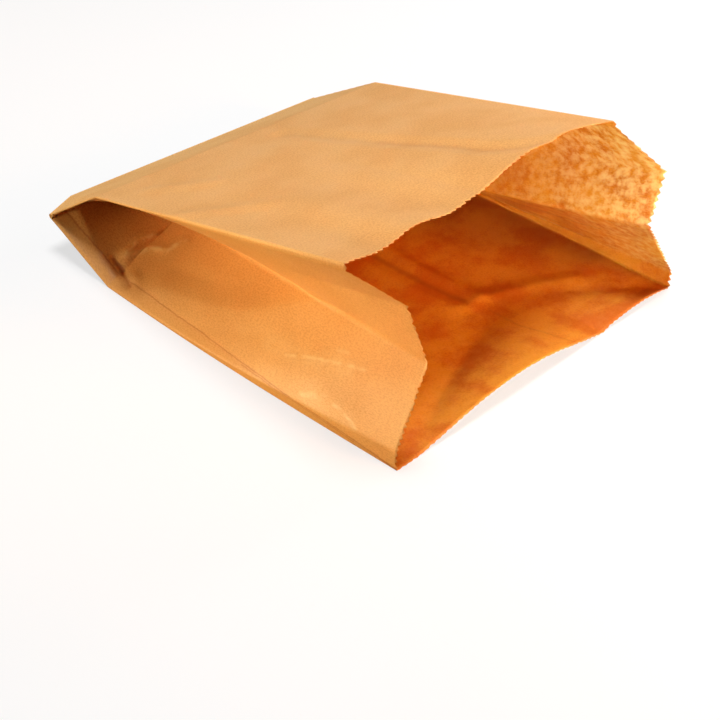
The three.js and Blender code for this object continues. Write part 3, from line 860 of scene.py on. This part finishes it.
def kraft_material(finish, size):
    """Glazed brown kraft: fibrous, creased and scuffed, and cloudy against the light. Shade in its creases
    and on its lap, glints on its scuffed creases and part of the glow of its thin spots are painted into
    its colour.
    """
    material = bpy.data.materials.new(PAPER_FINISH)
    tree = empty_tree(material)
    flat = add_node(tree, "ShaderNodeUVMap", "flat sheet", {"uv_map": "sheet"}).outputs["UV"]

    def noise(label, grain, detail, stretch=(1, 1, 1), output="Fac"):
        mapped = add_node(tree, "ShaderNodeMapping", label + " place", Vector=flat, Scale=stretch)
        return add_node(
            tree, "ShaderNodeTexNoise", label, {"noise_dimensions": "2D"},
            Vector=mapped.outputs["Vector"], Scale=1 / grain, Detail=detail, Roughness=NOISE_ROUGHNESS,
        ).outputs[output]

    def attribute(name):
        return add_node(tree, "ShaderNodeAttribute", name, {"attribute_name": name}).outputs["Fac"]

    inside, cloudy = attribute("inside"), attribute("cloudy")
    flocs = ramp(tree, "flocs", noise("clouds", finish.floc_size, detail=4.0), FLOC_RANGE)
    flocs = calculate(tree, "SUBTRACT", "from even paper", flocs, finish.even_paper)
    flocs = calculate(tree, "MULTIPLY_ADD", "cloudy paper", flocs, cloudy, finish.even_paper)
    grain = noise("grain", finish.fibre_size, detail=3.0, stretch=GRAIN_STRETCH)
    tone = noise("broad tone", finish.tone_size, detail=2.0)
    darker = ramp(tree, "grain range", grain, GRAIN_RANGE)
    darker = calculate(tree, "MULTIPLY", "grain share", darker, finish.grain_share)
    broad = ramp(tree, "tone range", tone, TONE_RANGE)
    darker = calculate(tree, "MULTIPLY_ADD", "with tone", broad, finish.tone_share, darker)
    face_colour = blend(tree, "outer face", darker, finish.kraft, finish.fibre)
    stain = noise("uneven tone", finish.stain_size, detail=4.0)
    stain = ramp(tree, "stains", stain, STAIN_RANGE, STAIN_SHARES)
    darker = calculate(tree, "ADD", "with stains", stain, darker)
    inner_colour = blend(tree, "inner face", darker, finish.inner, finish.inner_fibre)
    thin = ramp(tree, "thin range", calculate(tree, "MULTIPLY", "thin spots", flocs, cloudy), THIN_RANGE)
    # Thin spots of the inner face painted paler: partly worn paper, partly painted glow of the light
    # through them
    worn = calculate(tree, "MULTIPLY", "worn share", thin, finish.worn_share)
    inner_colour = blend(tree, "worn spots", worn, inner_colour, finish.worn)
    face_colour = blend(tree, "both faces", inside, face_colour, inner_colour)
    # The strip of the glued lap painted darker: painted shade
    lapped = calculate(tree, "MULTIPLY", "lap share", attribute("lapped"), finish.lap_share)
    face_colour = blend(tree, "glued lap", lapped, face_colour, finish.lap)

    stray = Vector((finish.wander, finish.wander, 0))
    bent = noise("wander", finish.wander_size, detail=2.0, output="Color")
    bent = vectors(tree, "MULTIPLY_ADD", "bent lines", bent, stray, flat)["Vector"]
    bent = vectors(tree, "SUBTRACT", "back in the middle", bent, stray / 2)["Vector"]
    group = line_group()
    broken = ramp(tree, "broken lines", noise("breaks", finish.break_size, detail=4.0), BREAK_RANGE)

    def lines(kind):
        outer, inner = (crease_lines(tree, group, kind, within, size, bent) for within in (False, True))
        change = calculate(tree, "SUBTRACT", "from outside to inside", inner, outer)
        return calculate(tree, "MULTIPLY_ADD", "lines of this face", change, inside, outer)

    scuffs = calculate(tree, "MULTIPLY", "scuffs", lines(SCUFF), broken)
    # Painted shade: creases, valleys, the lap's edge and the far fold are darkened where shadow falls
    face_colour = blend(tree, "dark creases", lines(SHADE), face_colour, finish.shade)
    # Scuffed creases painted lighter: partly worn paper, partly painted glints and sheen
    face_colour = blend(tree, "worn creases", scuffs, face_colour, finish.scuff)
    glow_colour = blend(tree, "glow", flocs, finish.dense_glow, finish.glow)
    glow_colour = blend(tree, "thin paper", thin, glow_colour, finish.thin_glow)
    height = calculate(tree, "MULTIPLY_ADD", "height", scuffs, finish.scuff_relief, grain)
    bump = add_node(
        tree, "ShaderNodeBump", "surface",
        Strength=finish.relief, Distance=finish.relief_depth, Height=height,
    ).outputs["Normal"]
    rough = calculate(tree, "MULTIPLY_ADD", "roughness", tone, finish.rough_spread, finish.roughness)
    rough = calculate(tree, "MULTIPLY_ADD", "glossy scuffs", scuffs, -finish.scuff_gloss, rough)
    surface = add_node(
        tree, "ShaderNodeBsdfPrincipled", "paper face",
        Base_Color=face_colour, Roughness=rough, Normal=bump, Specular_IOR_Level=finish.gloss,
    )
    through = add_node(
        tree, "ShaderNodeBsdfTranslucent", "light through the paper", Color=glow_colour, Normal=bump
    )
    held = finish.floc_share * finish.inner_share
    share = calculate(tree, "MULTIPLY_ADD", "less past the flocs", flocs, held, finish.inner_share - held)
    outer = calculate(tree, "MULTIPLY_ADD", "thin spots too", thin, finish.thin_share, finish.outer_share)
    share = calculate(tree, "SUBTRACT", "inner face only", share, outer)
    share = calculate(tree, "MULTIPLY_ADD", "either face", inside, share, outer)
    share = calculate(tree, "DIVIDE", "light past the plies", share, attribute("plies"))
    mix_to_output(tree, "ShaderNodeOutputMaterial", "paper", share, surface, through)
    return material


def paper_material(scene):
    """The paper's material, made once."""
    return bpy.data.materials.get(PAPER_FINISH) or kraft_material(scene.bag_paper, scene.bag_size)


def finish_piece(piece):
    """Fastens a finished piece to the bag's body."""
    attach(piece, "root")


# Operators

class BAG_OT_fold_sheet(Operator):
    """Fold the bag out of one sheet, with its serrated mouth, glued lap and handled paper"""

    bl_idname = "bag.fold_sheet"
    bl_label = "Fold the sheet"

    def execute(self, context):
        size = context.scene.bag_size
        corners = profile_corners(size)
        piece = bpy.data.objects.new("folded_sheet", sheet_mesh(size, corners))
        context.scene.collection.objects.link(piece)
        tree = paper_tree()
        handled = piece.modifiers.new("Handled paper", "NODES")
        handled.node_group = tree
        values = {name: getattr(size, name.lower().replace(" ", "_")) for name in TREE_SIZES}
        values.update({"Seed": size.seed, "Paper": paper_material(context.scene)})
        for item in tree.interface.items_tree:
            if item.in_out == "INPUT" and item.name in values:
                handled[item.identifier] = values[item.name]
        wall = piece.modifiers.new("Paper", "SOLIDIFY")
        wall.thickness = size.paper
        wall.offset = 0
        skin = len(piece.data.polygons)
        mesh = baked(piece)
        if len(mesh.polygons) < 2 * skin:
            raise RuntimeError("the sheet has no thickness")
        mesh.shade_smooth()
        inner = np.zeros(len(mesh.polygons))
        inner[skin:2 * skin] = 1
        store(mesh, "inside", inner, domain="FACE")
        finish_piece(piece)
        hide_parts(BAG_NODE)
        return {"FINISHED"}


class BAG_OT_fold_hem(Operator):
    """Fold the hem that closes the bottom end under the lower slope"""

    bl_idname = "bag.fold_hem"
    bl_label = "Fold the hem"

    def execute(self, context):
        size = context.scene.bag_size
        piece = bpy.data.objects.new("bottom_hem", hem_mesh(size, profile_corners(size)))
        context.scene.collection.objects.link(piece)
        piece.data.materials.append(paper_material(context.scene))
        finish_piece(piece)
        return {"FINISHED"}


WHITE = 1, 1, 1
SENSOR_WIDTH = 36  # millimetres
CLIP_START = 0.01  # metres
Lamp = namedtuple("Lamp", "name place aim size power spread tint", defaults=(180, WHITE))
LAMPS = (  # sizes in metres, power in watts, spread in degrees
    Lamp("overhead", (0.02, -0.02, 1.2), (0, 0, 0.03), 0.45, 13.0),
    Lamp("front", (-0.35, -0.80, 0.04), (0.035, -0.085, 0.035), 0.10, 0.21, 26, (1, 0.76, 0.44)),
    Lamp("side", (0.75, -0.45, 0.16), (0.10, 0.08, 0.06), 0.10, 0.16, 22),
    Lamp("mouth", (0.93, 0.2, 0.35), (0.04, 0, 0.03), 0.30, 0.58, 40, (1, 0.42, 0.06)),
    Lamp("lip", (0.70, -0.15, 0.60), (0.095, -0.03, 0.01), 0.05, 0.0095, 10, (1, 0.66, 0.28)),
    Lamp("behind", (0.12, 0.75, 0.10), (0.06, 0.09, 0.04), 0.4, 7.0),
)


class BAG_OT_set_stage(Operator):
    """Set the floor, the lamps, the world and the camera"""

    bl_idname = "bag.set_stage"
    bl_label = "Set the stage"

    def execute(self, context):
        stage = context.scene.bag_stage
        self.floor(context, stage)
        self.world(context, stage)
        for lamp in LAMPS:
            self.lamp(context, lamp)
        self.camera(context, stage)
        context.scene.view_settings.view_transform = "Standard"
        return {"FINISHED"}

    def floor(self, context, stage):
        half, level = stage.reach, -stage.drop
        corners = [(-half, -half, level), (half, -half, level), (half, half, level), (-half, half, level)]
        mesh = bpy.data.meshes.new("floor")
        mesh.from_pydata(corners, [], [(0, 1, 2, 3)])
        floor = bpy.data.objects.new("floor", mesh)
        context.scene.collection.objects.link(floor)
        material = bpy.data.materials.new("pale_floor")
        tree = empty_tree(material)
        seen = add_node(tree, "ShaderNodeLightPath", "seen by the camera").outputs["Is Camera Ray"]
        shade = blend(tree, "pale floor, seen or not", seen, stage.bounce, stage.floor)
        plain = add_node(tree, "ShaderNodeBsdfDiffuse", "plain floor", Color=shade)
        bright = add_node(tree, "ShaderNodeEmission", "white", Color=WHITE, Strength=1.0)
        share = calculate(tree, "MULTIPLY", "white share", seen, stage.white)
        mix_to_output(tree, "ShaderNodeOutputMaterial", "floor", share, plain, bright)
        mesh.materials.append(material)
        floor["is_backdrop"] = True

    def world(self, context, stage):
        world = bpy.data.worlds.new("white studio")
        context.scene.world = world
        tree = empty_tree(world)
        path = add_node(tree, "ShaderNodeLightPath", "seen or mirrored").outputs
        seen = calculate(tree, "MAXIMUM", "white", path["Is Camera Ray"], path["Is Glossy Ray"])
        soft = add_node(tree, "ShaderNodeBackground", "soft light", Color=WHITE, Strength=stage.soft_light)
        white = add_node(tree, "ShaderNodeBackground", "white", Color=WHITE, Strength=1.0)
        mix_to_output(tree, "ShaderNodeOutputWorld", "world", seen, soft, white)

    def lamp(self, context, lamp):
        data = bpy.data.lights.new(lamp.name, "AREA")
        data.color = lamp.tint
        data.spread = math.radians(lamp.spread)
        data.shape = "DISK"
        data.size = lamp.size
        data.energy = lamp.power
        made = bpy.data.objects.new(lamp.name, data)
        context.scene.collection.objects.link(made)
        made.location = lamp.place
        direction = Vector(lamp.aim) - Vector(lamp.place)
        made.rotation_euler = direction.to_track_quat("-Z", "Y").to_euler()

    def camera(self, context, stage):
        data = bpy.data.cameras.new("camera")
        data.lens = stage.lens
        data.sensor_width = SENSOR_WIDTH
        camera = bpy.data.objects.new("camera", data)
        context.scene.collection.objects.link(camera)
        flat = math.cos(stage.elevation)
        across, forward = math.sin(stage.azimuth) * flat, -math.cos(stage.azimuth) * flat
        back = Vector((across, forward, math.sin(stage.elevation)))
        camera.location = Vector(stage.aim) + back * stage.distance
        turn = (-back).to_track_quat("-Z", "Y").to_matrix() @ Matrix.Rotation(stage.roll, 3, "Z")
        camera.rotation_euler = turn.to_euler()
        data.clip_start = CLIP_START
        context.scene.camera = camera


class BAG_PT_sidebar(Panel):
    """The bag's operators and sizes"""

    bl_label = "Kraft bag"
    bl_idname = "BAG_PT_sidebar"
    bl_space_type = "VIEW_3D"
    bl_region_type = "UI"
    bl_category = "Bag"

    def draw(self, context):
        for operator in OPERATORS:
            self.layout.operator(operator.bl_idname)
        for group in GROUPS:
            settings = getattr(context.scene, group)
            for name in settings.bl_rna.properties.keys():
                if name not in ("rna_type", "name"):
                    self.layout.prop(settings, name)


OPERATORS = (BAG_OT_fold_sheet, BAG_OT_fold_hem, BAG_OT_set_stage)
GROUPS = {"bag_size": BagSizes, "bag_paper": PaperFinish, "bag_stage": StageSettings}
CLASSES = (*GROUPS.values(), *OPERATORS, BAG_PT_sidebar)


def register():
    for item in CLASSES:
        bpy.utils.register_class(item)
    for name, group in GROUPS.items():
        setattr(bpy.types.Scene, name, PointerProperty(type=group))


def unregister():
    for name in GROUPS:
        delattr(bpy.types.Scene, name)
    for item in reversed(CLASSES):
        bpy.utils.unregister_class(item)


def main():
    """Makes the pieces in order and finds the box round what is shown."""
    register()
    bpy.ops.bag.fold_sheet()
    bpy.ops.bag.fold_hem()
    bpy.ops.bag.set_stage()
    low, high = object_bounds()


if __name__ == "__main__":
    main()
